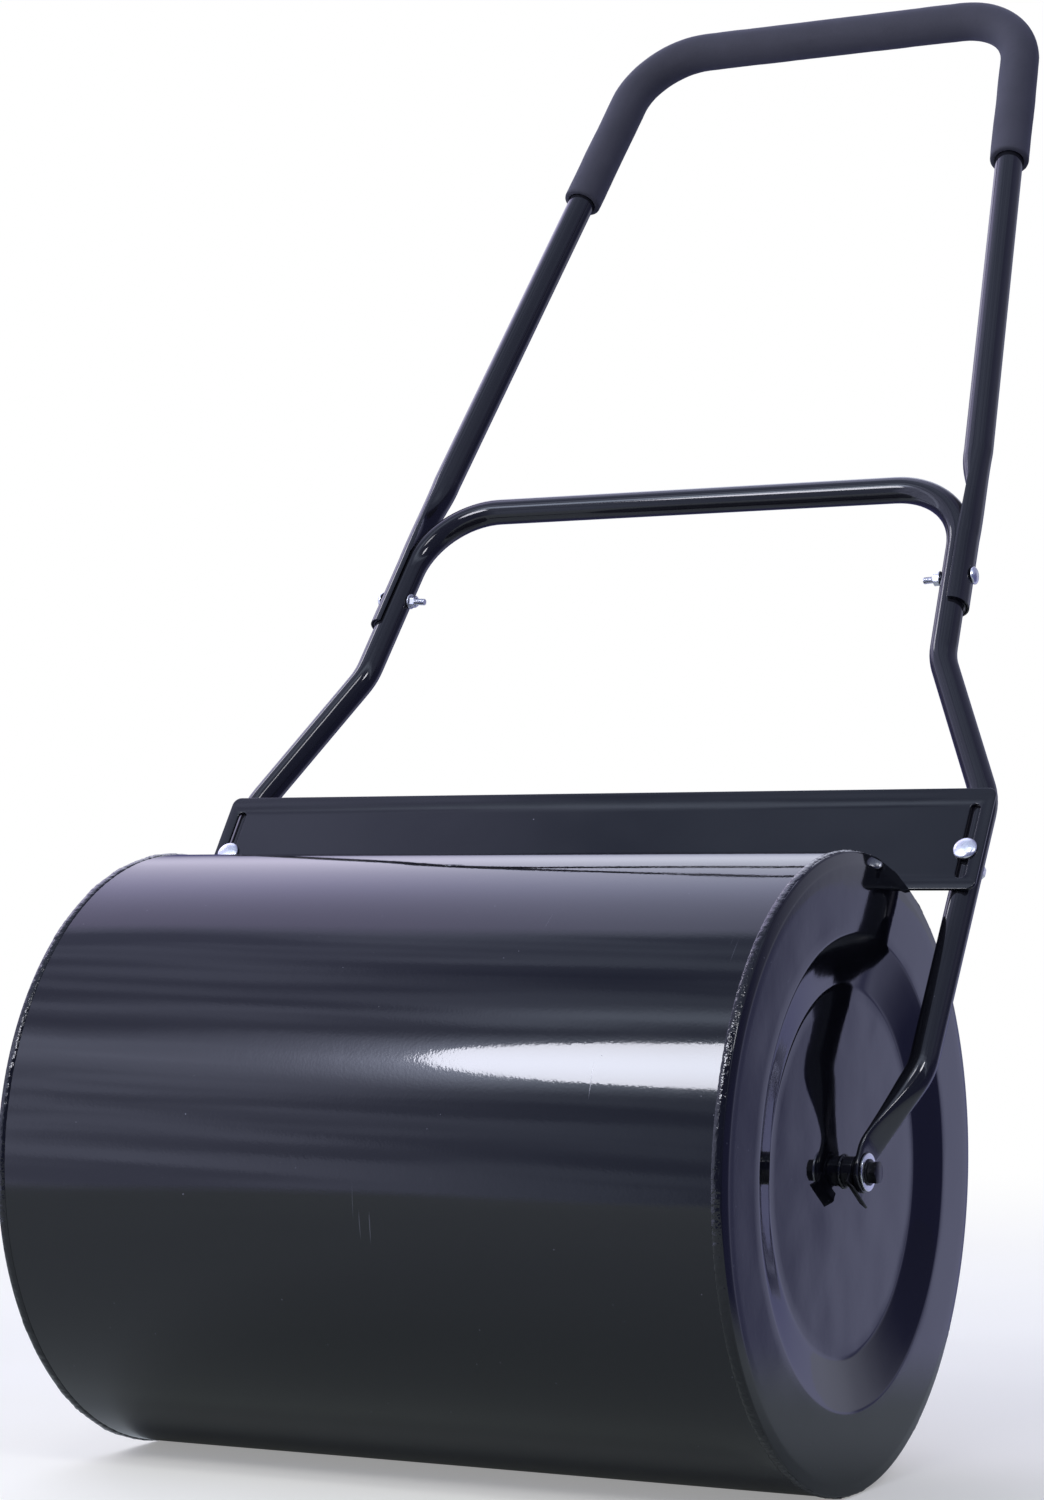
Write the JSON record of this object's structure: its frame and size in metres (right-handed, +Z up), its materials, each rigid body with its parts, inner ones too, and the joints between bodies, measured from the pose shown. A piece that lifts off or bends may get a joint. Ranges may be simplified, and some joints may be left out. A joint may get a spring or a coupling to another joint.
{
  "type": "lawn roller",
  "caption": "Push lawn roller: hollow steel drum on a bent tube frame with a slotted scraper plate, bolted U-shaped handle and foam grip.",
  "frame": {"origin": "on the ground, at the middle of the drum's lowest line, straight under the axle", "axes": "+X along the axle, +Y back towards the person who pushes, +Z up"},
  "size_m": [0.589, 0.7908, 1.0751],
  "materials": {
    "gloss_black_paint": "gloss",
    "satin_black_paint": "satin",
    "blackened_steel": "satin",
    "zinc_plate": "satin",
    "grip_foam": "matte",
    "plug_plastic": "matte",
    "gasket_rubber": "matte"
  },
  "bodies": {
    "frame": {"lower_frame": "satin_black_paint", "upper_handle": "satin_black_paint", "foam_grip": "grip_foam", "tab_washer_left": "blackened_steel", "tab_washer_right": "blackened_steel", "scraper_bolt_left": "zinc_plate", "scraper_bolt_right": "zinc_plate", "scraper_washer_left": "zinc_plate", "scraper_washer_right": "zinc_plate", "scraper_nut_left": "zinc_plate", "scraper_nut_right": "zinc_plate", "handle_bolt_left": "zinc_plate", "handle_bolt_right": "zinc_plate", "handle_washer_left": "zinc_plate", "handle_washer_right": "zinc_plate", "handle_nut_left": "zinc_plate", "handle_nut_right": "zinc_plate"},
    "drum": {"drum_shell": "gloss_black_paint", "drum_end_left": "gloss_black_paint", "drum_end_right": "gloss_black_paint", "stub_axle_left": "satin_black_paint", "stub_axle_right": "satin_black_paint", "pivot_bush_left": "zinc_plate", "pivot_bush_right": "zinc_plate", "axle_washer_left": "zinc_plate", "axle_washer_right": "zinc_plate", "axle_bolt_left": "blackened_steel", "axle_bolt_right": "blackened_steel", "fill_bung": "satin_black_paint"},
    "scraper": {"scraper_plate": "satin_black_paint"},
    "plug": {"fill_plug": "plug_plastic", "plug_gasket": "gasket_rubber"}
  },
  "joints": [
    {"name": "drum_spin", "type": "hinge", "parent": "frame", "child": "drum", "pos_m": [0, 0, 0.2], "axis": [1, 0, 0], "continuous": true},
    {"name": "scraper_adjust", "type": "slide", "parent": "frame", "child": "scraper", "axis": [0, 0.5563, 0.831], "range_m": [-0.002, 0.018]},
    {"name": "plug_pull", "type": "slide", "parent": "drum", "child": "plug", "axis": [-1, 0, 0], "range_m": [0, 0.022]}
  ]
}
